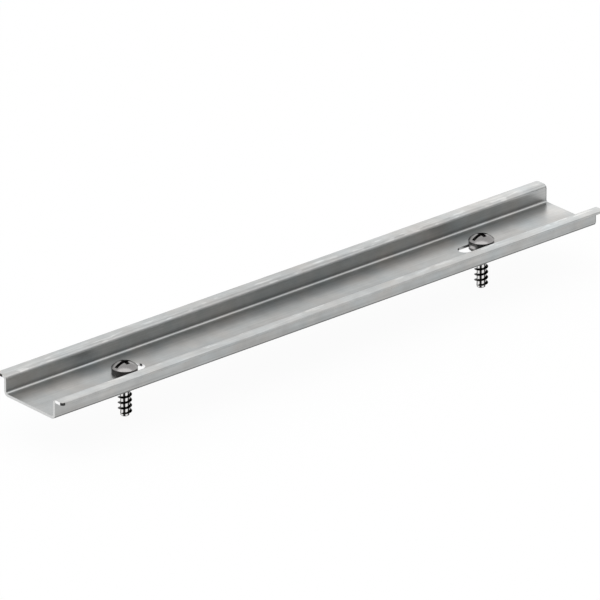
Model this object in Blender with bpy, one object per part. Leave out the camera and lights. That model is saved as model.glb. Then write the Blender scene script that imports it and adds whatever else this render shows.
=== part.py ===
"""A 35 x 7.5 mm top-hat mounting rail, roll-formed from 1 mm galvanised strip,
with the two dome-headed screws that hold it down standing in its slots.

X runs along the rail, Y across it (the front lip is at -Y) and Z is up.
The origin is on the level plane under the screws' blunt ends, below the
middle of the rail.  Run it with: blender --background --python part.py
"""
import math

import bmesh
import bpy
from mathutils import Matrix, Vector

MM = 0.001

# Rail: overall section and length
RAIL_LENGTH = 250.0 * MM
RAIL_WIDTH = 35.0 * MM
RAIL_HEIGHT = 7.5 * MM
CHANNEL_WIDTH = 27.0 * MM        # across the outsides of the two webs
SHEET = 1.0 * MM
LIP_BEND = 0.1 * MM              # inside radius where a web meets its lip
BASE_BEND = 0.8 * MM             # inside radius where a web meets the base
EDGE_BREAK = 0.12 * MM           # chamfer left by dressing the slit edges
BEND_STEPS = 6

# Slots through the base of the channel
SLOT_LENGTH = 13.1 * MM
SLOT_WIDTH = 5.2 * MM
SLOT_SPACING = 159.1 * MM        # between the middles of the two slots
SLOT_SHIFT = -1.0 * MM           # of the pair of slots, from the middle of the rail
SLOT_END_STEPS = 14

# Screws
SCREW_CENTRE = 82.5 * MM         # from the middle of the rail
SCREW_REACH = 15.5 * MM          # below the underside of the rail
SEAT_GAP = 0.3 * MM              # between the head and the rail
THREAD_DIAMETER = 4.6 * MM
CORE_DIAMETER = 2.9 * MM
TIP_TAPER = 0.9 * MM
HEAD_DIAMETER = 9.2 * MM
HEAD_RIM = 1.4 * MM              # height of the straight side
HEAD_DOME = 2.0 * MM             # height of the crown above it
RIM_CHAMFER = 0.2 * MM
DOME_STEPS = 6
ROUND_STEPS = 40

# Drive recess: a screwdriver slot along the rail, with a tapered cross in it
DRIVE_SLOT_LENGTH = 7.8 * MM
DRIVE_SLOT_WIDTH = 1.4 * MM
DRIVE_SLOT_DEPTH = 1.55 * MM     # from the top of the crown
CROSS_SPAN = 4.4 * MM
CROSS_WIDTH = 1.6 * MM
CROSS_DEPTH = 2.5 * MM
CROSS_BOTTOM = 0.45              # size of the cross at its bottom, as a share
CUTTER_MARGIN = 1.0 * MM         # how far cutters run past what they cut

# Heights that follow from the sizes above
BASE_UNDERSIDE = SCREW_REACH
BASE_TOP = BASE_UNDERSIDE + SHEET
HEAD_SEAT = BASE_TOP + SEAT_GAP
HEAD_TOP = HEAD_SEAT + HEAD_RIM + HEAD_DOME


def clear_scene():
    for old in list(bpy.data.objects):
        bpy.data.objects.remove(old, do_unlink=True)


def metal(name, colour, roughness):
    """A metal finish: base colour in linear RGB, and its roughness."""
    material = bpy.data.materials.new(name)
    material.use_nodes = True
    shader = material.node_tree.nodes["Principled BSDF"]
    shader.inputs["Base Color"].default_value = (*colour, 1.0)
    shader.inputs["Metallic"].default_value = 1.0
    shader.inputs["Roughness"].default_value = roughness
    return material


def new_object(name, mesh_data, material=None, parent=None):
    thing = bpy.data.objects.new(name, mesh_data)
    bpy.context.scene.collection.objects.link(thing)
    thing.parent = parent
    if material is not None:
        mesh_data.materials.append(material)
    return thing


def cutter_object(name, mesh_data, parent=None):
    """A shape that only cuts: drawn as wire, never rendered."""
    cutter = new_object(name, mesh_data, parent=parent)
    cutter.hide_render = True
    cutter.display_type = "WIRE"
    return cutter


def cut(target, cutter):
    boolean = target.modifiers.new("Cut " + cutter.name, "BOOLEAN")
    boolean.operation = "DIFFERENCE"
    boolean.solver = "EXACT"
    boolean.object = cutter


def mesh_from(bm, name):
    bmesh.ops.recalc_face_normals(bm, faces=bm.faces)
    mesh = bpy.data.meshes.new(name)
    bm.to_mesh(mesh)
    bm.free()
    return mesh


def prism(outline, axis_vector, name):
    """Extrude a closed outline of 3-D points along a vector, with both ends capped."""
    bm = bmesh.new()
    start = bm.faces.new([bm.verts.new(point) for point in outline])
    swept = bmesh.ops.extrude_face_region(bm, geom=[start], use_keep_orig=True)
    moved = [item for item in swept["geom"] if isinstance(item, bmesh.types.BMVert)]
    bmesh.ops.translate(bm, verts=moved, vec=axis_vector)
    return mesh_from(bm, name)


def strip_faces():
    """Walk across the folded strip from the back lip to the front lip.

    Returns the points of its upper and of its lower face, as (y, z) pairs with
    z counted from the underside of the base.  Each bend turns a quarter of a
    circle round its own centre, so both faces stay one sheet apart.
    """
    web_out = CHANNEL_WIDTH / 2
    web_in = web_out - SHEET
    lip_top = RAIL_HEIGHT
    lip_under = RAIL_HEIGHT - SHEET
    lip_edge = RAIL_WIDTH / 2
    upper = [(lip_edge, lip_top - EDGE_BREAK), (lip_edge - EDGE_BREAK, lip_top)]
    lower = [(lip_edge, lip_under + EDGE_BREAK), (lip_edge - EDGE_BREAK, lip_under)]
    lip_centre = (web_out + LIP_BEND, lip_under - LIP_BEND)
    base_centre = (web_in - BASE_BEND, SHEET + BASE_BEND)
    for step in range(BEND_STEPS + 1):
        turn = math.pi / 2 * step / BEND_STEPS
        across = math.sin(turn)
        rise = math.cos(turn)
        for face, radius in ((upper, LIP_BEND + SHEET), (lower, LIP_BEND)):
            face.append((lip_centre[0] - radius * across, lip_centre[1] + radius * rise))
    for step in range(BEND_STEPS + 1):
        turn = math.pi / 2 * step / BEND_STEPS
        across = math.cos(turn)
        drop = math.sin(turn)
        for face, radius in ((upper, BASE_BEND), (lower, BASE_BEND + SHEET)):
            face.append((base_centre[0] + radius * across, base_centre[1] - radius * drop))
    upper += [(-y, z) for y, z in reversed(upper)]
    lower += [(-y, z) for y, z in reversed(lower)]
    return upper, lower


def rail_mesh():
    upper, lower = strip_faces()
    start = -RAIL_LENGTH / 2
    outline = [(start, y, BASE_UNDERSIDE + z) for y, z in upper + lower[::-1]]
    mesh = prism(outline, Vector((RAIL_LENGTH, 0.0, 0.0)), "rail")
    mesh.shade_smooth()
    mesh.set_sharp_from_angle(angle=math.radians(32.0))
    return mesh


def slot_outline(length, width, z):
    """A slot with round ends, long way along X, centred on the origin."""
    radius = width / 2
    points = []
    for side in (1, -1):
        for step in range(SLOT_END_STEPS + 1):
            turn = math.pi * (step / SLOT_END_STEPS - 0.5)
            x = side * (length / 2 - radius + radius * math.cos(turn))
            points.append((x, side * radius * math.sin(turn), z))
    return points


def build_rail(frame, material):
    rail = new_object("rail", rail_mesh(), material, frame)
    low = BASE_UNDERSIDE - CUTTER_MARGIN
    high = BASE_TOP + CUTTER_MARGIN
    slot_cut = prism(slot_outline(SLOT_LENGTH, SLOT_WIDTH, low), Vector((0.0, 0.0, high - low)),
                     "slot_cut")
    for name, side in (("left", -1), ("right", 1)):
        cutter = cutter_object("slot_cut_" + name, slot_cut, frame)
        cutter.location.x = SLOT_SHIFT + side * SLOT_SPACING / 2
        cut(rail, cutter)
    return rail


def screw_profile():
    """Half of the screw's section as (radius, height) from the tip to the crown."""
    thread_radius = THREAD_DIAMETER / 2
    head_radius = HEAD_DIAMETER / 2
    rim_top = HEAD_SEAT + HEAD_RIM
    points = [(CORE_DIAMETER / 2, 0.0), (thread_radius, TIP_TAPER), (thread_radius, HEAD_SEAT)]
    points += [(head_radius - RIM_CHAMFER, HEAD_SEAT), (head_radius, HEAD_SEAT + RIM_CHAMFER)]
    crown_radius = (head_radius ** 2 + HEAD_DOME ** 2) / (2 * HEAD_DOME)
    full_turn = math.asin(head_radius / crown_radius)
    crown_centre = rim_top + HEAD_DOME - crown_radius
    for step in range(DOME_STEPS):
        turn = full_turn * (1 - step / DOME_STEPS)
        points.append((crown_radius * math.sin(turn), crown_centre + crown_radius * math.cos(turn)))
    return points


def screw_mesh():
    """Turn the section about the screw's axis and close both ends with a fan."""
    bm = bmesh.new()
    profile = screw_profile()
    chain = [bm.verts.new((radius, 0.0, height)) for radius, height in profile]
    for first, second in zip(chain, chain[1:]):
        bm.edges.new((first, second))
    bmesh.ops.spin(bm, geom=bm.verts[:] + bm.edges[:], cent=(0.0, 0.0, 0.0), axis=(0.0, 0.0, 1.0),
                   angle=2 * math.pi, steps=ROUND_STEPS, use_merge=True, use_duplicate=False)
    bmesh.ops.remove_doubles(bm, verts=bm.verts, dist=0.001 * MM)
    rims = [edge for edge in bm.edges if edge.is_boundary]
    for height, end in ((0.0, "tip"), (HEAD_TOP, "crown")):
        loop = [edge for edge in rims if abs(edge.verts[0].co.z - height) < HEAD_DOME / 2]
        filled = bmesh.ops.edgeloop_fill(bm, edges=loop)
        if end == "crown":
            poked = bmesh.ops.poke(bm, faces=filled["faces"])
            poked["verts"][0].co.z = HEAD_TOP
    mesh = mesh_from(bm, "screw")
    mesh.shade_smooth()
    mesh.set_sharp_from_angle(angle=math.radians(32.0))
    return mesh


def cross_outline(size, z):
    """The twelve corners of a cross, at a share of its full size."""
    reach = CROSS_SPAN / 2 * size
    half = CROSS_WIDTH / 2 * size
    corner = [(reach, -half), (reach, half), (half, half)]
    points = []
    for quarter in range(4):
        turn = Matrix.Rotation(math.pi / 2 * quarter, 2)
        points += [(*(turn @ Vector(point)), z) for point in corner]
    return points


def cross_cutter_mesh():
    """Loft the cross from its narrow bottom to its full size at the crown, and straight on up."""
    bm = bmesh.new()
    levels = ((CROSS_BOTTOM, HEAD_TOP - CROSS_DEPTH), (1.0, HEAD_TOP), (1.0, HEAD_TOP + CUTTER_MARGIN))
    rings = [[bm.verts.new(point) for point in cross_outline(size, z)] for size, z in levels]
    for below, above in zip(rings, rings[1:]):
        for index in range(len(below)):
            following = (index + 1) % len(below)
            bm.faces.new((below[index], below[following], above[following], above[index]))
    bm.faces.new(rings[0][::-1])
    bm.faces.new(rings[-1])
    return mesh_from(bm, "cross_cut")


def drive_slot_mesh():
    half_length = DRIVE_SLOT_LENGTH / 2
    half_width = DRIVE_SLOT_WIDTH / 2
    floor = HEAD_TOP - DRIVE_SLOT_DEPTH
    outline = [(-half_length, -half_width, floor), (half_length, -half_width, floor),
               (half_length, half_width, floor), (-half_length, half_width, floor)]
    return prism(outline, Vector((0.0, 0.0, DRIVE_SLOT_DEPTH + CUTTER_MARGIN)), "drive_slot_cut")


def build_screws(frame, material):
    body = screw_mesh()
    body.materials.append(material)
    cross_cut = cross_cutter_mesh()
    slot_cut = drive_slot_mesh()
    for name, side in (("left", -1), ("right", 1)):
        screw = new_object("screw_" + name, body, parent=frame)
        screw.location.x = side * SCREW_CENTRE
        for label, cutter_mesh in (("drive_slot_", slot_cut), ("drive_cross_", cross_cut)):
            cut(screw, cutter_object(label + name, cutter_mesh, screw))


def main():
    clear_scene()
    frame = new_object("rail_frame", None)
    build_rail(frame, metal("galvanised steel", (0.52, 0.53, 0.54), 0.32))
    build_screws(frame, metal("plated screw steel", (0.34, 0.34, 0.35), 0.22))


main()
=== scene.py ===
# %% [markdown]
# # A mounting rail and its two screws
#
# The object is a length of top-hat rail: one strip of galvanised steel, rolled into a shallow
# channel with its lips turned outwards, with two dome-headed screws standing in its slots.  This
# lesson dresses a model that was built before, to real size.  Its pieces come in as a frame that
# stays fixed, and each of them is then replaced by a finer piece in the same place.

# %% Load the frame
import math

import bmesh
import bpy
from mathutils import Matrix, Vector


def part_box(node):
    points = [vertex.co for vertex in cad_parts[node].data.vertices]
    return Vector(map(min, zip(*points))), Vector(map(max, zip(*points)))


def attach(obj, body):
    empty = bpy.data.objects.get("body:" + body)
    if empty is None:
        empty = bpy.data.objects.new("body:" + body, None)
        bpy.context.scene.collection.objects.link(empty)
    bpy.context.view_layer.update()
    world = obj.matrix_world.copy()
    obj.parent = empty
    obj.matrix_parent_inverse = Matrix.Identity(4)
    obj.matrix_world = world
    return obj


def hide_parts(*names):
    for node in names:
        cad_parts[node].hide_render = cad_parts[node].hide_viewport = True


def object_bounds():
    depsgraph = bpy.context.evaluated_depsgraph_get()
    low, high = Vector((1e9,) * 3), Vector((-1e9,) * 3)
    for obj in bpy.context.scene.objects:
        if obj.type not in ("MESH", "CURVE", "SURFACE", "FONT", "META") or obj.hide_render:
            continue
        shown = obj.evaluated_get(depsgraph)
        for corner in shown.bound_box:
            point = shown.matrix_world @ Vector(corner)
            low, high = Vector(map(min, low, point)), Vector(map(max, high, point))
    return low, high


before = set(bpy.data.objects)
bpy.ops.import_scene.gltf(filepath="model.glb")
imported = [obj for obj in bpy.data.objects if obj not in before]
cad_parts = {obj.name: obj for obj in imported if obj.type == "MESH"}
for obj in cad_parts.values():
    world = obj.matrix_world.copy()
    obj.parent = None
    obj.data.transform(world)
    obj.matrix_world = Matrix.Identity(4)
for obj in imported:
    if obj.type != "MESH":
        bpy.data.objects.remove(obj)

MM = 0.001
frame_low, frame_high = [Vector(corner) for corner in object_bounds()]
rail_low, rail_high = [Vector(corner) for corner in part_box("rail")]
print("rail:", [round(side / MM, 2) for side in rail_high - rail_low], "mm")

# %% [markdown]
# ## Small helpers
#
# A node tree is easier to read when one function adds a node, sets its settings and makes its
# links.  Its inputs are given in their order, or by name where the order isn't plain, and nodes
# that a tree starts with are fed in the same way.  Colours are picked on a screen as hex values,
# which are sRGB, but Blender's sockets want linear light, so one more function turns the one into
# the other.

# %% Functions for nodes and colours
MATH = "ShaderNodeMath"
VECTOR_MATH = "ShaderNodeVectorMath"
RAMP = "ShaderNodeMapRange"      # inputs: a value, its range, and the results at the range's ends
MIX = "ShaderNodeMix"
NOISE = "ShaderNodeTexNoise"
SPLIT = "ShaderNodeSeparateXYZ"
JOIN = "ShaderNodeCombineXYZ"


def feed(node, links):
    """Fill inputs, each with a value, an output, or a whole node, which stands for its first
    output in use."""
    for key, value in links.items() if isinstance(links, dict) else enumerate(links):
        if isinstance(value, bpy.types.Node):
            value = next(output for output in value.outputs if output.enabled)
        if isinstance(value, bpy.types.NodeSocket):
            node.id_data.links.new(value, node.inputs[key])
        else:
            node.inputs[key].default_value = value


def add_node(tree, kind, links=(), **settings):
    node = tree.nodes.new(kind)
    for name, value in settings.items():
        setattr(node, name, value)
    feed(node, links)
    return node


def linear(hex_colour):
    """An sRGB hex colour, such as "#c0c0c0", as linear RGBA."""
    shares = [int(hex_colour[place:place + 2], 16) / 255 for place in (1, 3, 5)]
    return [s / 12.92 if s <= 0.04045 else ((s + 0.055) / 1.055) ** 2.4 for s in shares] + [1.0]


print("white is", linear("#ffffff"))

# %% [markdown]
# ## Tones that follow the shape
#
# Tones here follow the shape: the bends get painted highlights, the underside painted shade, and a
# cut end is bare.  They could be painted on an image, but that needs seams and blurs close up.
# Here each of them is a ramp laid over a measure, such as the height above the rail's underside or
# how far a face looks up.  Where a tone belongs only to a few faces, several ramps are multiplied,
# and the product holds only where all of them do.  All four finishes are bare metals, so they
# share their first lines too.

# %% Measures, shares and a bare metal
SHEEN_MIDDLE = 6.0 * MM          # painted sheen grows from here towards both ends
HIGHLIGHT_BAND_MIDDLE = 5.5 * MM        # middle of a painted highlight band on the base, behind the rail's middle
DARK_EDGE_MIDDLE = -0.9 * MM          # middle between the painted dark edges of the two lips
GLINT_HEIGHT = 0.95 * MM         # above the rail's underside
MEASURES = {                     # name: axis, where it starts, which way it grows (0: both ways)
    "up": ("Z", rail_low.z, 1),
    "down": ("Z", rail_high.z, -1),
    "from_left": ("X", rail_low.x, 1),
    "from_right": ("X", rail_high.x, -1),
    "from_front": ("Y", rail_low.y, 1),
    "right": ("X", 0.0, 1),
    "back": ("Y", 0.0, 1),
    "along": ("X", 0.0, 0),
    "along_sheen": ("X", SHEEN_MIDDLE, 0),
    "across": ("Y", 0.0, 0),
    "off_band": ("Y", HIGHLIGHT_BAND_MIDDLE, 0),
    "off_dark_edges": ("Y", DARK_EDGE_MIDDLE, 0),
    "off_glint": ("Z", rail_low.z + GLINT_HEIGHT, 0),
}


def look_at_spot(tree):
    """What is known of the spot that is shaded: its place, and how it faces right, back and up."""
    place = add_node(tree, "ShaderNodeTexCoord").outputs["Object"]
    normal = add_node(tree, "ShaderNodeNewGeometry").outputs["True Normal"]
    known = {"place": place}
    for output in add_node(tree, SPLIT, [place]).outputs:
        known[output.name] = output
    for name, output in zip(("faces_right", "faces_back", "faces_up"),
                            add_node(tree, SPLIT, [normal]).outputs):
        known[name] = output
    return known


def share(tree, known, *ramps):
    """Ramps over known values or measures, multiplied.  Lengths are in millimetres."""
    product = None
    for name, *ramp in ramps:
        if name not in known:
            axis, start, way = MEASURES[name]
            sign = way or 1
            grown = add_node(tree, MATH, [known[axis], sign / MM, -sign * start / MM],
                             operation="MULTIPLY_ADD")
            known[name] = grown if way else add_node(tree, MATH, [grown], operation="ABSOLUTE")
        factor = add_node(tree, RAMP, [known[name], *ramp])
        product = factor if product is None else add_node(tree, MATH, [product, factor],
                                                          operation="MULTIPLY")
    return product


def new_metal(name):
    """A bare metal: the material, its tree and shader, and what is known of the spot."""
    material = bpy.data.materials.new(name)
    material.use_nodes = True
    tree = material.node_tree
    shader = tree.nodes["Principled BSDF"]
    feed(shader, {"Metallic": 1.0})
    return material, tree, shader, look_at_spot(tree)


print("measures:", len(MEASURES))

# %% [markdown]
# ## The rail's finish: passivated galvanised steel
#
# The strip is dipped in molten zinc, rolled smooth and passivated.  That leaves a soft, slightly
# blurred mirror: what the eye sees is mostly the room, spread by the rolling texture.  The zinc and
# its film make cloudy patches, between blue-grey and cream, with a finer mottle on top.  The rolls
# press some stretches smoother than others, which makes brighter and darker bands along the strip,
# and they leave hair-fine lines.  All of it runs with the strip, so it is noise that is drawn out
# along it.

# %% Patterns in the zinc
CLOUD_SIZE = 14.0 * MM           # width of one cloudy patch
MOTTLE_SIZE = 6.0 * MM
STREAKS = {                      # name: length and width of one streak, and its detail
    "bands": (70.0 * MM, 7.0 * MM, 1.0),
    "lines": (40.0 * MM, 0.5 * MM, 2.0),     # real ones are finer; these are as fine as will show
    "rubs": (12.0 * MM, 1.1 * MM, 1.0),
    "touches": (6.0 * MM, 1.6 * MM, 1.0),
}


def streaks(tree, place, length, width, detail):
    """Noise whose patches are drawn out along X."""
    stretch = add_node(tree, "ShaderNodeMapping", {
        "Vector": place, "Scale": (1 / length, 1 / width, 1 / width)})
    return add_node(tree, NOISE, {"Vector": stretch, "Scale": 1.0, "Detail": detail,
                                  "Roughness": 0.5})


print("streaks:", ", ".join(STREAKS))

# %% [markdown]
# Then come the wear and the painted light.  Rails that are stacked rub each other and leave short
# bright marks on the lips, most of all on their inner edges.  Painted highlights run along the
# bends, and a painted sheen brightens the upper faces towards the ends.  The rail is darker low
# down, a painted highlight runs as a band along the base, and painted shade darkens the base along
# its back bend and the upright faces.  Painted shade darkens the underside, painted light brightens
# the turn above it, and painted shade makes a dark line at the right end and a dark corner at the
# left.  Each line of the table is one such change of brightness, so that one can be taken out
# without the others.

# %% Galvanised strip
NOISE_RANGE = (0.3, 0.7)         # a noise stays mostly between these
BLUR = (0.31, 0.37)              # roughness, from cloud to cloud
BASE_BLUR = -0.03                # the rolls leave the base a little smoother
WEAR = {                         # name: ramps, each a measure, its range, the change at both ends
    "pressed bands": [("bands", *NOISE_RANGE, -0.05, 0.05)],
    "roll lines": [("lines", *NOISE_RANGE, -0.07, 0.07)],
    "mottle": [("mottle", *NOISE_RANGE, -0.08, 0.08)],
    "rubs on the lips": [("rubs", 0.54, 0.7, 0.0, 0.12), ("down", 0.1, 0.3, 1.0, 0.0)],
    "rubs on their inner edges": [("touches", 0.58, 0.64, 0.0, 0.22),
                                  ("across", 15.0, 15.6, 1.0, 0.0), ("down", 0.5, 0.7, 1.0, 0.0)],
    # darker within 1.5 mm of the underside, fading out by 3 mm
    "darker low down": [("up", 1.5, 3.0, -0.17, 0.0)],
    # painted shade: faces that look down are made nearly black
    "painted shade on the underside": [("faces_up", -0.44, -0.35, -0.94, 0.0)],
    # painted light on faces that look slightly down, standing for light from the floor
    "painted light on the turn above it": [("faces_up", -0.3, 0.0, 0.2, 0.0)],
    # painted shade: upright and downward faces are made 0.1 darker
    "painted shade on upright faces": [("faces_up", 0.1, 0.5, -0.1, 0.0)],
    # painted sheen: upward faces darker near the middle and brighter towards the ends
    "painted sheen towards the ends": [("faces_up", 0.3, 0.8, 0.0, 1.0), ("along_sheen", 0.0, 119.0, -0.11, 0.1)],
    # painted highlight on the bends at the base
    "painted highlight on base bends": [("slant", 0.05, 0.2, 0.0, 1.0), ("faces_up", 0.0, 0.1, 0.0, 1.0),
                             ("up", 1.9, 2.1, 0.5, 0.0)],
    # painted highlight on the bends at the lips
    "painted highlight on lip bends": [("slant", 0.05, 0.2, 0.0, 1.0), ("faces_up", 0.0, 0.1, 0.0, 1.0),
                            ("down", 1.9, 2.1, 1.0, 0.0), ("faces_up", 0.45, 0.7, 0.3, 0.0)],
    # painted highlight: a brighter band along the base
    "painted highlight band on the base": [("up", 1.5, 3.0, 1.0, 0.0), ("off_band", 1.0, 7.5, 0.26, 0.0)],
    # painted shade: the base darkens towards the back web
    "painted shade at the back of the base": [("up", 1.5, 3.0, 1.0, 0.0), ("back", 8.5, 11.0, 0.0, -0.23)],
    # painted shade: the front lip's edge is made dark near the left end
    "painted shade at the left front corner": [("from_left", 1.1, 1.4, 1.0, 0.0), ("from_front", 0.1, 0.3, -0.85, 0.0)],
    # painted shade: a dark line along the right end of upright and downward faces
    "painted shade line at the right cut": [("from_right", 0.25, 0.5, -0.38, 0.0),
                             ("faces_up", 0.3, 0.8, 1.0, 0.0)],
}


def galvanised_strip():
    material, tree, shader, known = new_metal("passivated galvanised steel")
    for name, (length, width, detail) in STREAKS.items():
        known[name] = streaks(tree, known["place"], length, width, detail)
    known["clouds"] = add_node(tree, NOISE, {
        "Vector": known["place"], "Scale": 1 / CLOUD_SIZE, "Detail": 3.0, "Roughness": 0.55})
    known["mottle"] = add_node(tree, NOISE, {
        "Vector": known["place"], "Scale": 1 / MOTTLE_SIZE, "Detail": 4.0, "Roughness": 0.6})
    slope = add_node(tree, MATH, [known["faces_back"], known["faces_up"]], operation="MULTIPLY")
    known["slant"] = add_node(tree, MATH, [slope], operation="ABSOLUTE")
    light = 1.0
    for name, ramps in WEAR.items():
        light = add_node(tree, MATH, [light, share(tree, known, *ramps), light],
                         operation="MULTIPLY_ADD", label=name)
    tint = add_node(tree, MIX, {
        "Factor": share(tree, known, ("clouds", *NOISE_RANGE, 0.0, 1.0)),
        "A": linear("#b5b9ba"), "B": linear("#bebcb9")}, data_type="RGBA")
    colour = add_node(tree, VECTOR_MATH, {0: tint, "Scale": light}, operation="SCALE")
    blur = add_node(tree, MATH, [share(tree, known, ("clouds", *NOISE_RANGE, *BLUR)),
                                 share(tree, known, ("up", 1.5, 3.0, BASE_BLUR, 0.0))])
    relief = add_node(tree, "ShaderNodeBump", {"Height": known["lines"], "Strength": 0.05,
                                               "Distance": 0.05 * MM})
    feed(shader, {"Base Color": colour, "Roughness": blur, "Normal": relief})
    return material


rail_finish = galvanised_strip()
print("finish:", rail_finish.name)

# %% [markdown]
# The zinc covers only what was there when the strip was dipped.  The shear that cuts the rail to
# length and the punch that makes its slots leave bare steel: brighter, and rougher, so it takes
# light from all sides.  On it are painted light and shade: a white painted highlight on the front
# lip's cut end, nearly black painted shade at the outer parts of both lips' cut ends, white painted
# light on the left slot's walls but for one spot of painted shade, and painted shade on the slots'
# walls that look to the right.  These tones are mixed in one after the other, because each hides
# what was there before.

# %% Sheared edges
TEAR_GRAIN = 0.5 * MM
# where a spot of painted shade sits on the left slot's wall
SHADE_SPOT = (-74.3 * MM, 0.9 * MM, 16.1 * MM)
CUT_TONES = (                    # colour, and the ramps that say where it is
    # painted highlight: the front lip's cut end is made white
    ("#ffffff", [("back", -13.9, -13.6, 1.0, 0.0)]),
    # painted light: the left slot's walls are made white
    ("#ffffff", [("right", -110.0, -100.0, 0.0, 1.0), ("right", -70.0, -60.0, 1.0, 0.0)]),
    # painted shade on the slots' walls that look to the right
    ("#5a5a5a", [("along", 100.0, 110.0, 1.0, 0.0), ("faces_right", 0.05, 0.3, 0.0, 1.0)]),
    # painted shade: one dark spot on the left slot's wall
    ("#5a5a5a", [("off_shade_spot", 0.4, 0.6, 1.0, 0.0)]),
    # painted shade: nearly black at the outer parts of both lips' cut ends
    ("#3c3c3c", [("off_dark_edges", 15.2, 15.5, 0.0, 1.0)]),
)


def sheared_steel():
    material, tree, shader, known = new_metal("freshly sheared bare steel")
    known["tear"] = add_node(tree, NOISE, {"Vector": known["place"], "Scale": 1 / TEAR_GRAIN,
                                           "Detail": 2.0})
    off_shade_spot = add_node(tree, VECTOR_MATH, [known["place"], SHADE_SPOT], operation="DISTANCE")
    known["off_shade_spot"] = add_node(tree, MATH, [off_shade_spot, 1 / MM], operation="MULTIPLY")
    colour = add_node(tree, MIX, {
        "Factor": share(tree, known, ("tear", *NOISE_RANGE, 0.0, 1.0)),
        "A": linear("#c9cacb"), "B": linear("#dadad8")}, data_type="RGBA")
    for tone, ramps in CUT_TONES:
        colour = add_node(tree, MIX, {"Factor": share(tree, known, *ramps), "A": colour,
                                      "B": linear(tone)}, data_type="RGBA")
    feed(shader, {"Base Color": colour, "Roughness": 0.38})
    return material


sheared_finish = sheared_steel()
print("finish:", sheared_finish.name)

# %% [markdown]
# ## The screws' finish: bright plated steel
#
# A screw is headed and rolled from wire, then barrel plated.  It is smoother than the strip, so it
# mirrors the room with more contrast, and it is darker.  Tumbling in the barrel leaves tiny
# dents, which a fine noise in the roughness and a very weak bump stand for.  The crowns keep
# their full brightness, painted shade darkens the rims, and a painted glint sits low down on the
# side that looks towards the other screw.

# %% Plated heads
TUMBLE_GRAIN = 0.25 * MM
PAINTED_RIM_SHADE = ("faces_up", 0.25, 0.6, 0.3, 1.0)    # painted shade: the rim has 0.3 of the crown's brightness
# a painted glint, low down on the side that looks towards the other screw
GLINT = (("inwards", 0.92, 0.97, 0.0, 1.3), ("off_glint", 0.4, 0.7, 1.0, 0.0))


def plated_screw_steel():
    material, tree, shader, known = new_metal("bright plated screw steel")
    grain = add_node(tree, NOISE, {"Vector": known["place"], "Scale": 1 / TUMBLE_GRAIN,
                                   "Detail": 2.0, "Roughness": 0.5})
    tint = add_node(tree, MIX, {"Factor": grain, "A": linear("#8a8888"), "B": linear("#949291")},
                    data_type="RGBA")
    screw_side = add_node(tree, MATH, [known["X"]], operation="SIGN")
    outwards = add_node(tree, MATH, [known["faces_right"], screw_side], operation="MULTIPLY")
    known["inwards"] = add_node(tree, MATH, [outwards, -1.0], operation="MULTIPLY")
    # painted shade on the rims and a painted glint, both by how a face looks
    light = add_node(tree, MATH, [share(tree, known, PAINTED_RIM_SHADE), share(tree, known, *GLINT)])
    colour = add_node(tree, VECTOR_MATH, {0: tint, "Scale": light}, operation="SCALE")
    gloss = add_node(tree, RAMP, [grain, *NOISE_RANGE, 0.2, 0.27])
    relief = add_node(tree, "ShaderNodeBump", {"Height": grain, "Strength": 0.08,
                                               "Distance": 0.02 * MM})
    feed(shader, {"Base Color": colour, "Roughness": gloss, "Normal": relief})
    return material


screw_finish = plated_screw_steel()
print("finish:", screw_finish.name)

# %% [markdown]
# The thread is rolled into the same wire.  Its polished core would mirror the room as bright and
# dark upright stripes, and here those stripes are painted reflections; painted shade darkens the
# flanks and the blunt tip.  The stripes follow the angle round the screw's own axis, so that angle
# is worked out from X and Y, and a cosine of it gives bright and dark by turns.  The distance from
# the axis tells flank from core.

# %% Threads with painted shade and painted stripes
SCREW_CENTRE = 82.5 * MM         # from the middle of the rail to each screw's axis
CORE_RADIUS = 1.6 * MM
CREST_RADIUS = 2.5 * MM
# painted shade on the flanks and round the blunt tip
SHADE_ON_FLANK = (CORE_RADIUS + 0.03 * MM, CORE_RADIUS + 0.25 * MM)
SHADE_AT_TIP = (frame_low.z + 0.15 * MM, frame_low.z + 0.5 * MM)
# painted reflections: upright bright and dark stripes round the core
REFLECTION_STRIPES = 6
REFLECTION_STRIPE_TURN = -1.2
STRIPE_EDGE = (-0.5, 0.5)        # of the cosine: how softly bright turns to dark


def thread_steel_with_painted_light():
    material, tree, shader, known = new_metal("rolled thread, oily flanks on a bright core")
    screw_side = add_node(tree, MATH, [known["X"]], operation="SIGN")
    from_axis = add_node(tree, MATH, [screw_side, -SCREW_CENTRE, known["X"]],
                         operation="MULTIPLY_ADD")
    flat = add_node(tree, JOIN, {"X": from_axis, "Y": known["Y"]})
    radius = add_node(tree, VECTOR_MATH, [flat], operation="LENGTH")
    flank = add_node(tree, RAMP, [radius, *SHADE_ON_FLANK, 0.0, 1.0])
    tip = add_node(tree, RAMP, [known["Z"], *SHADE_AT_TIP, 1.0, 0.0])
    # painted shade, on the flanks and round the tip
    flank_and_tip_shade = add_node(tree, MATH, [flank, tip], operation="MAXIMUM")
    angle = add_node(tree, MATH, [known["Y"], from_axis], operation="ARCTAN2")
    wave = add_node(tree, MATH, [angle, float(REFLECTION_STRIPES), REFLECTION_STRIPE_TURN],
                    operation="MULTIPLY_ADD")
    stripe = add_node(tree, MATH, [wave], operation="COSINE")
    # painted reflection stripes, bright and dark by turns round the axis
    drawn = add_node(tree, MIX, {
        "Factor": add_node(tree, RAMP, [stripe, *STRIPE_EDGE, 0.0, 1.0]),
        "A": linear("#1e1d1d"), "B": linear("#e9e8e7")}, data_type="RGBA")
    # the painted shade darkens the flanks and the tip
    tint = add_node(tree, MIX, {"Factor": flank_and_tip_shade, "A": drawn, "B": linear("#343332")},
                    data_type="RGBA")
    feed(shader, {"Base Color": tint, "Roughness": 0.12})
    return material


thread_finish = thread_steel_with_painted_light()
print("finish:", thread_finish.name)

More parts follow.
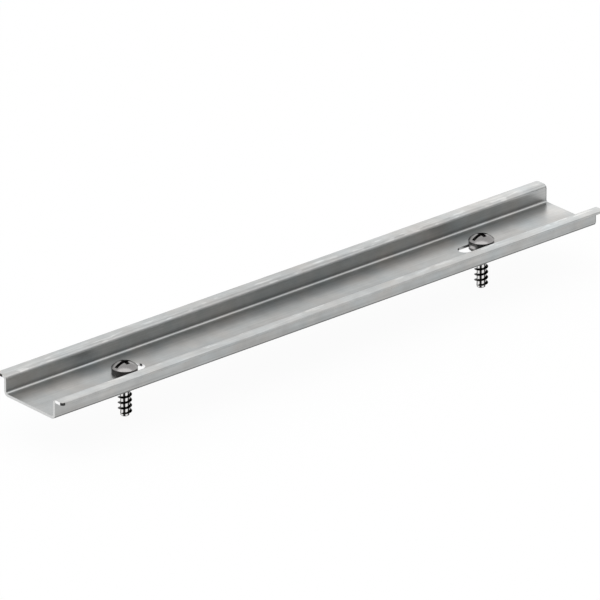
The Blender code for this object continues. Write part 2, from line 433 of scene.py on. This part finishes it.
# %% [markdown]
# ## Trees with named inputs
#
# A Geometry Nodes tree is a recipe.  Its sizes come in through named inputs, so the same tree can
# make another length of rail or another screw.  The modifier on an object fills the inputs in, by
# each socket's identifier, and the result is then copied out as a plain mesh.

# %% Start a tree, run a tree
SOCKET = {"size": "NodeSocketFloat", "count": "NodeSocketInt", "material": "NodeSocketMaterial"}


def new_tree(name, **inputs):
    """A tree that takes geometry and the named inputs; returns it with its two end nodes."""
    tree = bpy.data.node_groups.new(name, "GeometryNodeTree")
    tree.interface.new_socket(name="Geometry", in_out="INPUT", socket_type="NodeSocketGeometry")
    tree.interface.new_socket(name="Geometry", in_out="OUTPUT", socket_type="NodeSocketGeometry")
    for label, sort in inputs.items():
        tree.interface.new_socket(name=label, in_out="INPUT", socket_type=SOCKET[sort])
    return tree, tree.nodes.new("NodeGroupInput"), tree.nodes.new("NodeGroupOutput")


def new_object(name, mesh):
    thing = bpy.data.objects.new(name, mesh)
    bpy.context.scene.collection.objects.link(thing)
    return thing


def run_tree(thing, tree, **values):
    """Put the tree on the object as a modifier and fill in its inputs."""
    modifier = thing.modifiers.new(tree.name, "NODES")
    modifier.node_group = tree
    for item in tree.interface.items_tree:
        if item.in_out == "INPUT" and item.name in values:
            modifier[item.identifier] = values[item.name]


def plain_mesh(thing, name):
    """The object's mesh as its modifiers leave it; the object itself is removed."""
    bpy.context.view_layer.update()
    evaluated = thing.evaluated_get(bpy.context.evaluated_depsgraph_get())
    mesh = bpy.data.meshes.new_from_object(evaluated)
    mesh.name = name
    bpy.data.objects.remove(thing, do_unlink=True)
    return mesh


print("inputs of a tree can be a", ", a ".join(SOCKET))

# %% [markdown]
# ## The rail: one outline, swept
#
# A rolled section is the same all along, so it is one outline swept along a line.  The outline is
# drawn with twelve sharp corners, and each corner carries the radius that the rolls give it: a
# small one inside a bend, the same plus the strip's thickness outside it, and a tiny one on the
# slit edges.  Fillet Curve reads that radius, so the bends stay true arcs however many steps they
# get.  Doing it by hand would mean placing every point of every bend.

# %% The strip's outline, twelve corners
SHEET = 1.0 * MM
CHANNEL_WIDTH = 27.0 * MM
LIP_BEND = 0.5 * MM              # inside radius where a web meets its lip
BASE_BEND = 0.8 * MM             # inside radius where a web meets the base
EDGE_BREAK = 0.12 * MM

lip_edge = rail_high.y
lip_top = rail_high.z
base_underside = rail_low.z
web_outside = CHANNEL_WIDTH / 2
web_inside = web_outside - SHEET
half_outline = [
    (web_outside, base_underside, BASE_BEND + SHEET),
    (web_outside, lip_top - SHEET, LIP_BEND),
    (lip_edge, lip_top - SHEET, EDGE_BREAK),
    (lip_edge, lip_top, EDGE_BREAK),
    (web_inside, lip_top, LIP_BEND + SHEET),
    (web_inside, base_underside + SHEET, BASE_BEND),
]
outline = half_outline + [(-y, z, radius) for y, z, radius in reversed(half_outline)]


def outline_mesh():
    """A closed loop of edges.  The sweep lays x along -Y and y along -Z, so both are turned round."""
    mesh = bpy.data.meshes.new("strip outline")
    last = len(outline) - 1
    edges = [(index, index + 1) for index in range(last)] + [(last, 0)]
    mesh.from_pydata([(-y, -z, 0.0) for y, z, radius in outline], edges, [])
    radii = mesh.attributes.new("corner_radius", "FLOAT", "POINT")
    radii.data.foreach_set("value", [radius for y, z, radius in outline])
    return mesh


print("outline corners:", len(outline))

# %% [markdown]
# The slots are punched after the strip is rolled.  Each punch is a flat loop with round ends,
# swept straight down through the base, and a Boolean takes both out at once.  A Quadrilateral
# whose corners are filleted by almost half its width gives the round ends.  The two slots stand a
# little to the left as a pair, as they may where a long rail is punched first and cut later.
#
# The cut ends and the punched walls get their own finish.  The tree finds them by what they are:
# the first look along the rail, and the others are upright and near the middle of the base.

# %% The rail's tree
SLOT_LENGTH = 12.9 * MM
SLOT_WIDTH = 5.2 * MM
SLOT_SPACING = 159.1 * MM        # between the middles of the two slots
SLOT_SHIFT = -1.0 * MM           # of the pair, from the middle of the rail
PUNCH_MARGIN = 2.0 * MM
HAIR = 0.001 * MM                # keeps two fillets from meeting in one point
ALONG_LIMIT = 0.05               # a face that looks along the rail by more than this was cut
UPRIGHT_LIMIT = 0.3              # a face that looks up or down by less than this is upright


def punched_strip_tree():
    tree, given, result = new_tree("Punched strip", Length="size", BendSteps="count",
                                   SlotLength="size", SlotWidth="size", SlotSpacing="size",
                                   SlotShift="size", PunchLow="size", PunchHigh="size",
                                   Finish="material", Sheared="material")
    value = given.outputs

    def line(axis, start, end):
        ends = [add_node(tree, JOIN, {axis: place}) for place in (start, end)]
        return add_node(tree, "GeometryNodeCurvePrimitiveLine", {"Start": ends[0],
                                                                 "End": ends[1]})

    def swept(path, loop, radius):
        round_loop = add_node(tree, "GeometryNodeFilletCurve", {
            "Curve": loop, "Count": value["BendSteps"], "Radius": radius}, mode="POLY")
        return add_node(tree, "GeometryNodeCurveToMesh", {
            "Curve": path, "Profile Curve": round_loop, "Fill Caps": True})

    half = add_node(tree, MATH, [value["Length"], 0.5], operation="MULTIPLY")
    back = add_node(tree, MATH, [half, -1.0], operation="MULTIPLY")
    loop = add_node(tree, "GeometryNodeMeshToCurve", {"Mesh": value["Geometry"]})
    radius = add_node(tree, "GeometryNodeInputNamedAttribute", {"Name": "corner_radius"})
    strip = swept(line("X", back, half), loop, radius)

    corner = add_node(tree, MATH, [value["SlotWidth"], 0.5, -HAIR], operation="MULTIPLY_ADD")
    box = add_node(tree, "GeometryNodeCurvePrimitiveQuadrilateral", {
        "Width": value["SlotLength"], "Height": value["SlotWidth"]})
    punch = swept(line("Z", value["PunchLow"], value["PunchHigh"]), box, corner)
    first, second = [add_node(tree, MATH, [value["SlotSpacing"], side, value["SlotShift"]],
                              operation="MULTIPLY_ADD") for side in (-0.5, 0.5)]
    punches = add_node(tree, "GeometryNodeInstanceOnPoints", {
        "Points": line("X", first, second), "Instance": punch})
    solid = add_node(tree, "GeometryNodeRealizeInstances", [punches])
    holed = add_node(tree, "GeometryNodeMeshBoolean", {"Mesh 1": strip, "Mesh 2": solid},
                     operation="DIFFERENCE", solver="EXACT")
    real = add_node(tree, "GeometryNodeRealizeInstances", [holed])
    dressed = add_node(tree, "GeometryNodeSetMaterial", {"Geometry": real,
                                                         "Material": value["Finish"]})

    facing = add_node(tree, SPLIT, [add_node(tree, "GeometryNodeInputNormal")]).outputs
    beside = add_node(tree, SPLIT, [add_node(tree, "GeometryNodeInputPosition")]).outputs
    not_end = add_node(tree, MATH, [facing["X"], 0.0, ALONG_LIMIT], operation="COMPARE")
    is_end = add_node(tree, MATH, [1.0, not_end], operation="SUBTRACT")
    upright = add_node(tree, MATH, [facing["Z"], 0.0, UPRIGHT_LIMIT], operation="COMPARE")
    in_slot = add_node(tree, MATH, [beside["Y"], 0.0, corner], operation="COMPARE")
    wall = add_node(tree, MATH, [upright, in_slot], operation="MULTIPLY")
    cut_face = add_node(tree, MATH, [wall, is_end], operation="MAXIMUM")
    bare = add_node(tree, "GeometryNodeSetMaterial", {
        "Geometry": dressed, "Selection": cut_face, "Material": value["Sheared"]})
    feed(result, [bare])
    return tree


strip_recipe = punched_strip_tree()
print("nodes in the rail's tree:", len(strip_recipe.nodes))

# %% [markdown]
# The shear leaves the lips' corners rounded, seen from above.  A bevel can't make that rounding,
# because the tiny fillets on the slit edges stop it, so four upright cutters take the corners off.
# They carry the sheared finish, and the Boolean hands it on to the faces that it makes.
#
# Sheared ends and punched slots are never razor sharp, so a Bevel with an angle limit breaks only
# those edges.  The bends are already arcs in small steps, below the limit.  Weighted Normal then
# gives the wide flat faces the say over how light runs across the steps, which keeps the flats
# flat in a mirror-like finish.

# %% Cutters for the lips' corners
LIP_CORNER = 1.2 * MM            # rounding of the four lip corners, seen from above
CORNER_STEPS = 8


def corner_cutter():
    """Four upright solids, each of them all that lies outside one lip corner's rounding."""
    bm = bmesh.new()
    near = Vector((rail_high.x - LIP_CORNER, rail_high.y - LIP_CORNER))
    far = Vector((rail_high.x + PUNCH_MARGIN, rail_high.y + PUNCH_MARGIN))
    plan = [Vector((far.x, near.y)), far, Vector((near.x, far.y))]
    for step in range(CORNER_STEPS + 1):
        turn = math.pi / 2 * (1 - step / CORNER_STEPS)
        plan.append(near + LIP_CORNER * Vector((math.cos(turn), math.sin(turn))))
    for side_x in (-1, 1):
        for side_y in (-1, 1):
            rings = [[bm.verts.new((side_x * spot.x, side_y * spot.y, height)) for spot in plan]
                     for height in (base_underside, lip_top + PUNCH_MARGIN)]
            for ring in rings:
                bm.faces.new(ring)
            for index in range(len(plan)):
                bm.faces.new((rings[0][index - 1], rings[0][index], rings[1][index],
                              rings[1][index - 1]))
    bmesh.ops.recalc_face_normals(bm, faces=bm.faces)
    mesh = bpy.data.meshes.new("corner cutter")
    bm.to_mesh(mesh)
    bm.free()
    mesh.materials.append(sheared_finish)
    return new_object("corner cutter", mesh)


def cut_out(thing, cutter, **settings):
    """Take the cutter's shape out of the thing, once its modifiers are evaluated."""
    cut = thing.modifiers.new(cutter.name, "BOOLEAN")
    cut.operation = "DIFFERENCE"
    cut.solver = "EXACT"
    cut.object = cutter
    for name, value in settings.items():
        setattr(cut, name, value)


corners = corner_cutter()
print("cutter faces:", len(corners.data.polygons))

# %% Make the rail
BEND_STEPS = 10
SHEARED_EDGE = 0.08 * MM
SHARP_ANGLE = math.radians(40.0)


def shade_to_angle(mesh):
    """Smooth shading, with edges sharper than the limit kept sharp."""
    mesh.shade_smooth()
    mesh.set_sharp_from_angle(angle=SHARP_ANGLE)
    return mesh


def finish_edges(thing):
    """Break the sharp edges and even out the shading of what is left."""
    bevel = thing.modifiers.new("Broken edges", "BEVEL")
    bevel.width = SHEARED_EDGE
    bevel.segments = 2
    bevel.limit_method = "ANGLE"
    bevel.angle_limit = SHARP_ANGLE
    bevel.harden_normals = False
    even = thing.modifiers.new("Even shading", "WEIGHTED_NORMAL")
    even.mode = "FACE_AREA_WITH_ANGLE"
    even.keep_sharp = True


rail_draft = new_object("rail draft", outline_mesh())
run_tree(rail_draft, strip_recipe, Length=rail_high.x - rail_low.x, BendSteps=BEND_STEPS,
         SlotLength=SLOT_LENGTH, SlotWidth=SLOT_WIDTH, SlotSpacing=SLOT_SPACING,
         SlotShift=SLOT_SHIFT, PunchLow=base_underside - PUNCH_MARGIN,
         PunchHigh=base_underside + SHEET + PUNCH_MARGIN, Finish=rail_finish,
         Sheared=sheared_finish)
rail_draft = new_object("rail draft", plain_mesh(rail_draft, "punched strip"))
cut_out(rail_draft, corners, material_mode="TRANSFER")
rounded_mesh = plain_mesh(rail_draft, "rounded strip")
bpy.data.objects.remove(corners, do_unlink=True)
rail_draft = new_object("rail draft", shade_to_angle(rounded_mesh))
finish_edges(rail_draft)
rail_piece = new_object("galvanised_rail", plain_mesh(rail_draft, "galvanised rail"))
print("rail faces:", len(rail_piece.data.polygons))

# %% [markdown]
# ## The screws' heads
#
# A pan head has a straight rim, a domed crown, a plain neck below, and a recess struck into the
# top.  All but the recess is round, so half of its section is spun about the axis.  The Screw
# modifier could do that too.  Here the spin is followed at once by a merge of its seam and its
# two poles, which keeps the surface closed.

# %% A spun head
HEAD_RADIUS = 4.6 * MM
HEAD_RIM = 1.65 * MM
HEAD_DOME = 2.0 * MM
RIM_ROUND = 0.06 * MM
NECK_RADIUS = 2.3 * MM           # the plain neck that stands in the slot
NECK_LENGTH = 1.1 * MM
HEAD_STEPS = 96
DOME_STEPS = 14
ROUND_STEPS = 4
crown = HEAD_RIM + HEAD_DOME


def head_profile():
    """Half of the head's section as (radius, height), from the axis below to the crown."""
    dome_radius = (HEAD_RADIUS ** 2 + HEAD_DOME ** 2) / (2 * HEAD_DOME)
    dome_centre = crown - dome_radius
    points = [(0.0, -NECK_LENGTH), (NECK_RADIUS, -NECK_LENGTH), (NECK_RADIUS, 0.0)]
    for step in range(ROUND_STEPS + 1):
        turn = math.pi / 2 * step / ROUND_STEPS
        points.append((HEAD_RADIUS - RIM_ROUND * (1 - math.sin(turn)),
                       RIM_ROUND * (1 - math.cos(turn))))
    widest = math.asin(HEAD_RADIUS / dome_radius)
    for step in range(DOME_STEPS + 1):
        turn = widest * (1 - step / DOME_STEPS)
        points.append((dome_radius * math.sin(turn), dome_centre + dome_radius * math.cos(turn)))
    return points


def mesh_from(bm, name):
    bmesh.ops.remove_doubles(bm, verts=bm.verts, dist=HAIR)
    bmesh.ops.recalc_face_normals(bm, faces=bm.faces)
    mesh = bpy.data.meshes.new(name)
    bm.to_mesh(mesh)
    bm.free()
    return mesh


def spun_mesh(profile, name):
    bm = bmesh.new()
    chain = [bm.verts.new((radius, 0.0, height)) for radius, height in profile]
    for below, above in zip(chain, chain[1:]):
        bm.edges.new((below, above))
    bmesh.ops.spin(bm, geom=bm.verts[:] + bm.edges[:], cent=(0, 0, 0), axis=(0, 0, 1),
                   angle=2 * math.pi, steps=HEAD_STEPS, use_merge=True, use_duplicate=False)
    return mesh_from(bm, name)


turned_head = spun_mesh(head_profile(), "turned head")
print("turned head faces:", len(turned_head.polygons))

# %% [markdown]
# The recess takes a flat screwdriver or a cross one.  Two cutters make it: a slot along the rail,
# and a cross that narrows towards its bottom.  Booleans follow the dome by themselves, so the
# recess gets its curved outline for nothing, where modelling it in place would take a grid of
# faces on the dome.

# %% The recess
DRIVE_SLOT_LENGTH = 7.8 * MM
DRIVE_SLOT_WIDTH = 1.4 * MM
DRIVE_SLOT_DEPTH = 1.55 * MM
CROSS_SPAN = 4.4 * MM
CROSS_WIDTH = 1.6 * MM
CROSS_DEPTH = 2.5 * MM
CROSS_BOTTOM = 0.45              # size of the cross at its bottom, as a share of that at its top


def lofted(loops, name):
    """Join loops of points, one above the other, into one closed shape."""
    bm = bmesh.new()
    rings = [[bm.verts.new(point) for point in loop] for loop in loops]
    for below, above in zip(rings, rings[1:]):
        for index in range(len(below)):
            after = (index + 1) % len(below)
            bm.faces.new((below[index], below[after], above[after], above[index]))
    bm.faces.new(rings[0][::-1])
    bm.faces.new(rings[-1])
    return mesh_from(bm, name)


def cross_loop(share_of_top, height):
    reach = CROSS_SPAN / 2 * share_of_top
    half = CROSS_WIDTH / 2 * share_of_top
    tips = [(reach, -half), (reach, half), (half, half)]
    turns = [Matrix.Rotation(math.pi / 2 * quarter, 2) for quarter in range(4)]
    return [(*(turn @ Vector(tip)), height) for turn in turns for tip in tips]


def slot_loop(height):
    x = DRIVE_SLOT_LENGTH / 2
    y = DRIVE_SLOT_WIDTH / 2
    return [(-x, -y, height), (x, -y, height), (x, y, height), (-x, y, height)]


def struck(turned):
    """The turned head with its recess."""
    head = new_object("head draft", turned)
    above = crown + PUNCH_MARGIN
    loops = {
        "slot cutter": [slot_loop(crown - DRIVE_SLOT_DEPTH), slot_loop(above)],
        "cross cutter": [cross_loop(CROSS_BOTTOM, crown - CROSS_DEPTH), cross_loop(1.0, crown),
                         cross_loop(1.0, above)],
    }
    cutters = [new_object(name, lofted(rings, name)) for name, rings in loops.items()]
    for cutter in cutters:
        cut_out(head, cutter)
    mesh = plain_mesh(head, "struck head")
    for cutter in cutters:
        bpy.data.objects.remove(cutter, do_unlink=True)
    return shade_to_angle(mesh)


struck_head = struck(turned_head)
print("head faces:", len(struck_head.polygons))

# %% [markdown]
# ## The screws' threads
#
# A thread follows a rule: the surface stands out wherever the height, counted in pitches, keeps
# step with the angle.  So a flat grid is rolled into a tube whose rows climb one pitch in each
# turn.  The share of a pitch says how far a row stands out from the core.  Rows that would pass
# the tip or the head are held there and merged, which trims the helix square at both ends, and a
# disc closes each end.  Near both ends the thread fades into the plain core, as the rolls leave it.
#
# Sweeping a small triangle along a helix is the other common way, but its ends stay open and it
# only touches the core, so it wouldn't be one closed surface.

# %% The thread's sums
ROWS_IN_PITCH = 12
AROUND = 64
CREST_FOOT = 0.26                # half the crest's width at its foot, as a share of the pitch
THREAD_SUMS = {                  # result: operation, and terms that are known by then
    "turn": ("ADD", "grid x", 0.5),
    "row": ("ADD", "grid y", 0.5),
    "climb": ("MULTIPLY", "row", "Pitches"),
    "pitches below": ("SUBTRACT", "climb", 1.0),
    "pitches": ("ADD", "pitches below", "turn"),
    "height": ("MULTIPLY", "Pitch", "pitches"),
    "above the tip": ("MAXIMUM", "height", 0.0),
    "held": ("MINIMUM", "above the tip", "Length"),
    "share of a pitch": ("FRACT", "climb"),
    "off the crest": ("SUBTRACT", "share of a pitch", 0.5),
    "away": ("ABSOLUTE", "off the crest"),
    "slope": ("DIVIDE", "away", CREST_FOOT),
    "ridge": ("SUBTRACT", 1.0, "slope"),
    "past the lead-in": ("SUBTRACT", "held", "LeadIn"),
    "room below": ("DIVIDE", "past the lead-in", "Fade"),
    "thread top": ("SUBTRACT", "Length", "RunOut"),
    "before the run-out": ("SUBTRACT", "thread top", "held"),
    "room above": ("DIVIDE", "before the run-out", "Fade"),
    "room": ("MULTIPLY", "room below", "room above"),
    "swell": ("MULTIPLY", "ridge", "room"),
    "into the tip": ("SUBTRACT", "Point", "held"),
    "tip cut": ("MAXIMUM", "into the tip", 0.0),
    "body": ("SUBTRACT", "Core", "tip cut"),
    "thread depth": ("SUBTRACT", "Crest", "Core"),
    "radius": ("MULTIPLY_ADD", "swell", "thread depth", "body"),
    "angle": ("MULTIPLY_ADD", "turn", math.tau, "Start"),
    "cosine": ("COSINE", "angle"),
    "sine": ("SINE", "angle"),
    "x": ("MULTIPLY", "radius", "cosine"),
    "y": ("MULTIPLY", "radius", "sine"),
    "tip radius": ("SUBTRACT", "Core", "Point"),
}
KEPT_IN_0_TO_1 = ("ridge", "room below", "room above")
print("sums for one thread:", len(THREAD_SUMS))

# %% [markdown]
# Each of these sums becomes one Math node, labelled with its result.  The grid is then moved to
# where they say, its two ends are closed, and what touches is merged.

# %% The thread's tree
def thread_tree():
    tree, given, result = new_tree("Coarse thread", Core="size", Crest="size", Pitch="size",
                                   Length="size", Pitches="count", Start="size", Fade="size",
                                   LeadIn="size", RunOut="size", Point="size",
                                   Finish="material")
    known = {output.name: output for output in given.outputs}
    rows = add_node(tree, MATH, [known["Pitches"], float(ROWS_IN_PITCH), 1.0],
                    operation="MULTIPLY_ADD")
    grid = add_node(tree, "GeometryNodeMeshGrid", {"Size X": 1.0, "Size Y": 1.0,
                                                   "Vertices X": AROUND + 1, "Vertices Y": rows})
    spot = add_node(tree, SPLIT, [add_node(tree, "GeometryNodeInputPosition")]).outputs
    known["grid x"] = spot["X"]
    known["grid y"] = spot["Y"]
    for name, (operation, *terms) in THREAD_SUMS.items():
        known[name] = add_node(tree, MATH, [known.get(term, term) for term in terms],
                               operation=operation, use_clamp=name in KEPT_IN_0_TO_1, label=name)
    rolled = add_node(tree, JOIN, [known["x"], known["y"], known["held"]])
    tube = add_node(tree, "GeometryNodeSetPosition", {"Geometry": grid, "Position": rolled})
    facing = add_node(tree, JOIN, {"Z": known["Start"]})
    shapes = [tube]
    for radius, height in ((known["tip radius"], 0.0), (known["Core"], known["Length"])):
        disc = add_node(tree, "GeometryNodeMeshCircle", {"Vertices": AROUND, "Radius": radius},
                        fill_type="NGON")
        lift = add_node(tree, JOIN, {"Z": height})
        shapes.append(add_node(tree, "GeometryNodeTransform", {
            "Geometry": disc, "Translation": lift, "Rotation": facing}))
    joined = add_node(tree, "GeometryNodeJoinGeometry")
    for shape in shapes:
        feed(joined, [shape])
    merged = add_node(tree, "GeometryNodeMergeByDistance", {"Geometry": joined, "Distance": HAIR})
    real = add_node(tree, "GeometryNodeRealizeInstances", [merged])
    dressed = add_node(tree, "GeometryNodeSetMaterial", {"Geometry": real,
                                                         "Material": known["Finish"]})
    feed(result, [dressed])
    return tree


thread_recipe = thread_tree()
print("nodes in the thread's tree:", len(thread_recipe.nodes))

# %% [markdown]
# Each screw is the same head on the same thread.  The thread runs up a little into the head, so
# that no gap can show.  Below each head stands a key, as wide as its slot allows and as long as
# the head's rim, on the side that looks towards the other screw.  It is a plain block with one
# round side, so two loops of points, one above the other, are enough for it.  All three shapes go
# into one mesh, each of them closed in itself.

# %% One thread, one key
PITCH = 2.06 * MM
LEAD_IN = 0.8 * MM               # plain core above the blunt end
RUN_OUT = 1.4 * MM               # plain core at the top, where the neck surrounds it
THREAD_FADE = 0.7 * MM
POINT = 0.25 * MM                # chamfer of the blunt end
START_ANGLE = math.radians(-150.0)
KEY_WIDTH = 4.9 * MM
KEY_DEPTH = 1.6 * MM
KEY_STEPS = 12
INTO_HEAD = 0.3 * MM


def thread_mesh(length):
    draft = new_object("thread draft", bpy.data.meshes.new("empty"))
    run_tree(draft, thread_recipe, Core=CORE_RADIUS, Crest=CREST_RADIUS, Pitch=PITCH,
             Length=length, Pitches=math.ceil(length / PITCH) + 1, Start=START_ANGLE,
             Fade=THREAD_FADE, LeadIn=LEAD_IN, RunOut=RUN_OUT, Point=POINT, Finish=thread_finish)
    mesh = plain_mesh(draft, "coarse thread")
    bm = bmesh.new()
    bm.from_mesh(mesh)
    bmesh.ops.recalc_face_normals(bm, faces=bm.faces)
    bm.to_mesh(mesh)
    bm.free()
    return shade_to_angle(mesh)


def key_mesh(side):
    """The key of a screw whose neighbour stands on the given side, 1 for right and -1 for left."""
    reach = math.asin(KEY_WIDTH / 2 / HEAD_RADIUS)
    plan = [Vector((0.0, -KEY_WIDTH / 2)), Vector((0.0, KEY_WIDTH / 2))]
    for step in range(KEY_STEPS + 1):
        turn = reach * (1 - 2 * step / KEY_STEPS)
        plan.insert(-1, HEAD_RADIUS * Vector((math.cos(turn), -math.sin(turn))))
    loops = [[(side * spot.x, side * spot.y, height) for spot in plan]
             for height in (-KEY_DEPTH, INTO_HEAD)]
    return lofted(loops, "key")


print("key:", round(KEY_WIDTH / MM, 2), "x", round(KEY_DEPTH / MM, 2), "mm")

# %% Make the screws
HEAD_SEAT_GAP = 0.05 * MM        # too thin to see, but it keeps head and base apart
head_seat = base_underside + SHEET + HEAD_SEAT_GAP


def put_in(bm, mesh, place):
    """Add a mesh at its place and return its faces."""
    verts_before = len(bm.verts)
    faces_before = len(bm.faces)
    bm.from_mesh(mesh)
    bm.verts.ensure_lookup_table()
    bm.faces.ensure_lookup_table()
    bmesh.ops.translate(bm, verts=bm.verts[verts_before:], vec=place)
    return bm.faces[faces_before:]


def make_screw(node, name):
    low, high = [Vector(corner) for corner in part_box(node)]
    axis = (low + high) / 2
    seat = Vector((axis.x, axis.y, head_seat))
    bm = bmesh.new()
    head_faces = put_in(bm, struck_head, seat)
    thread_faces = put_in(bm, thread_mesh(head_seat + INTO_HEAD - low.z),
                          Vector((axis.x, axis.y, low.z)))
    neck_faces = [face for face in head_faces if face.calc_center_median().z < head_seat - HAIR]
    for face in neck_faces + thread_faces:
        face.material_index = 1
    put_in(bm, key_mesh(-math.copysign(1.0, axis.x)), seat)
    mesh = bpy.data.meshes.new(name)
    bm.to_mesh(mesh)
    bm.free()
    mesh.materials.append(screw_finish)
    mesh.materials.append(thread_finish)
    return new_object(name, mesh)


screw_pieces = {"screw_left": make_screw("screw_left", "dome_screw_left"),
                "screw_right": make_screw("screw_right", "dome_screw_right")}
for node, piece in screw_pieces.items():
    print(piece.name, "faces:", len(piece.data.polygons))

# %% [markdown]
# ## Put each piece in place of its plain part
#
# Every new piece rides on the body that holds it, and the plain piece that it replaces is hidden.

# %% Ride and replace
replaced = {"rail": rail_piece, **screw_pieces}
for node, piece in replaced.items():
    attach(piece, "root")
    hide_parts(node)
print("replaced:", ", ".join(replaced))

# %% [markdown]
# ## The studio
#
# The rail stands on a matt white floor.  A large share of what the camera and the reflections see
# of it is even background, and the rest is paint that takes the faint shadow of the object.  A
# brighter lamp would whiten the floor too, but it would burn out the lips before.

# %% Floor
FLOOR_SIZE = 8.0
FLOOR_GLOW = 0.95                # how much of the white is even background, free of shadow


def white_floor():
    material = bpy.data.materials.new("matt white floor")
    material.use_nodes = True
    tree = material.node_tree
    tree.nodes.clear()
    paint = add_node(tree, "ShaderNodeBsdfDiffuse", {"Color": linear("#f7f7f7")})
    glow = add_node(tree, "ShaderNodeEmission", {"Color": linear("#ffffff"), "Strength": 1.0})
    ray = add_node(tree, "ShaderNodeLightPath").outputs
    seen = ray["Is Camera Ray"]
    for kind in ("Is Glossy Ray", "Is Transmission Ray"):
        seen = add_node(tree, MATH, [seen, ray[kind]], operation="MAXIMUM")
    even = add_node(tree, MATH, [seen, FLOOR_GLOW], operation="MULTIPLY")
    mixed = add_node(tree, "ShaderNodeMixShader", [even, paint, glow])
    add_node(tree, "ShaderNodeOutputMaterial", {"Surface": mixed})
    return material


half_floor = FLOOR_SIZE / 2
floor_level = frame_low.z
floor_mesh = bpy.data.meshes.new("floor")
floor_mesh.from_pydata([(x * half_floor, y * half_floor, floor_level)
                        for x, y in ((-1, -1), (1, -1), (1, 1), (-1, 1))], [], [(0, 1, 2, 3)])
floor_mesh.materials.append(white_floor())
floor = new_object("floor", floor_mesh)
print("floor level:", floor_level)

# %% [markdown]
# Bare metal has hardly a colour of its own, so it is lit by giving it something to mirror: a room
# that is bright behind and above and dimmer in front, a wide soft box high up in front, and a
# small card that brightens the right end from behind.  Because the front is dim, the inside of the
# back web, which faces it, turns darker than the lips.  A single picture of a studio would light it
# as well, but a curve of a few levels can be tuned one direction at a time.

# %% Room light and lamps
SKY_AXIS = Vector((0.25, 0.6, 0.76)).normalized()
SKY_LEVELS = (                   # how far a direction leans to the axis, from 0 to 1, and its level
    (0.0, 0.4), (0.52, 0.5), (0.6, 1.2), (0.72, 1.42), (0.9, 1.2), (1.0, 1.38))
LAMPS = {                        # name: place, aim and size in metres, power in watts
    "front softbox": ((-0.43, -0.49, 2.4), (0.0, 0.0, 0.0), (4.0, 1.1), 15.0),
    "card at the back right": ((0.66, 0.55, 0.38), (0.12, 0.0, 0.02), (0.45, 0.35), 0.15),
}


def room_light():
    """A dome of light whose level depends on how far a direction leans back and up."""
    world = bpy.data.worlds.new("studio")
    world.use_nodes = True
    tree = world.node_tree
    tree.nodes.clear()
    direction = add_node(tree, "ShaderNodeTexCoord").outputs["Generated"]
    lean = add_node(tree, VECTOR_MATH, [direction, tuple(SKY_AXIS)], operation="DOT_PRODUCT")
    towards = add_node(tree, RAMP, [lean, -1.0, 1.0, 0.0, 1.0])
    levels = add_node(tree, "ShaderNodeFloatCurve", {"Value": towards})
    curve = levels.mapping.curves[0]
    levels.mapping.use_clip = False
    levels.mapping.extend = "HORIZONTAL"
    for index, (at, level) in enumerate(SKY_LEVELS):
        if index < 2:            # a new curve has two points already
            curve.points[index].location = (at, level)
        else:
            curve.points.new(at, level)
    levels.mapping.update()
    light = add_node(tree, "ShaderNodeBackground", {"Strength": levels})
    add_node(tree, "ShaderNodeOutputWorld", {"Surface": light})
    bpy.context.scene.world = world


def soft_lamp(name, place, aim, size, power):
    data = bpy.data.lights.new(name, "AREA")
    data.shape = "RECTANGLE"
    data.size, data.size_y = size
    data.energy = power
    lamp = new_object(name, data)
    lamp.location = place
    lamp.rotation_euler = (Vector(aim) - Vector(place)).to_track_quat("-Z", "Y").to_euler()


room_light()
for name, settings in LAMPS.items():
    soft_lamp(name, *settings)
print("lamps:", ", ".join(LAMPS))

# %% [markdown]
# ## The camera
#
# The picture was taken from far away with a long lens: its long edges hardly converge.  The angle
# and distance below bring the rail's ends, bends and screws to where the photograph has them.

# %% Camera
VIEW_AZIMUTH = math.radians(-41.17)
VIEW_ELEVATION = math.radians(24.06)
VIEW_DISTANCE = 3.646
VIEW_NEAREST = 0.1
VIEW_FARTHEST = 100.0
LENS = 628.4                     # millimetres, on the usual 36 mm sensor
AIM_RIGHT = -1.89 * MM           # what the middle of the picture looks at, beside
AIM_UP = 3.18 * MM               # and above the middle of the rail's underside

camera_data = bpy.data.cameras.new("long lens")
camera_data.lens = LENS
camera_data.clip_start = VIEW_NEAREST
camera_data.clip_end = VIEW_FARTHEST
camera = new_object("camera", camera_data)
backwards = Vector((math.sin(VIEW_AZIMUTH) * math.cos(VIEW_ELEVATION),
                    -math.cos(VIEW_AZIMUTH) * math.cos(VIEW_ELEVATION), math.sin(VIEW_ELEVATION)))
sideways = Vector((math.cos(VIEW_AZIMUTH), math.sin(VIEW_AZIMUTH), 0.0))
upwards = backwards.cross(sideways)
aim = Vector((0.0, 0.0, base_underside)) + sideways * AIM_RIGHT + upwards * AIM_UP
camera.location = aim + backwards * VIEW_DISTANCE
camera.rotation_euler = backwards.to_track_quat("Z", "Y").to_euler()
bpy.context.scene.camera = camera
bpy.context.scene.view_settings.view_transform = "Standard"
print("camera at", [round(part, 3) for part in camera.location])
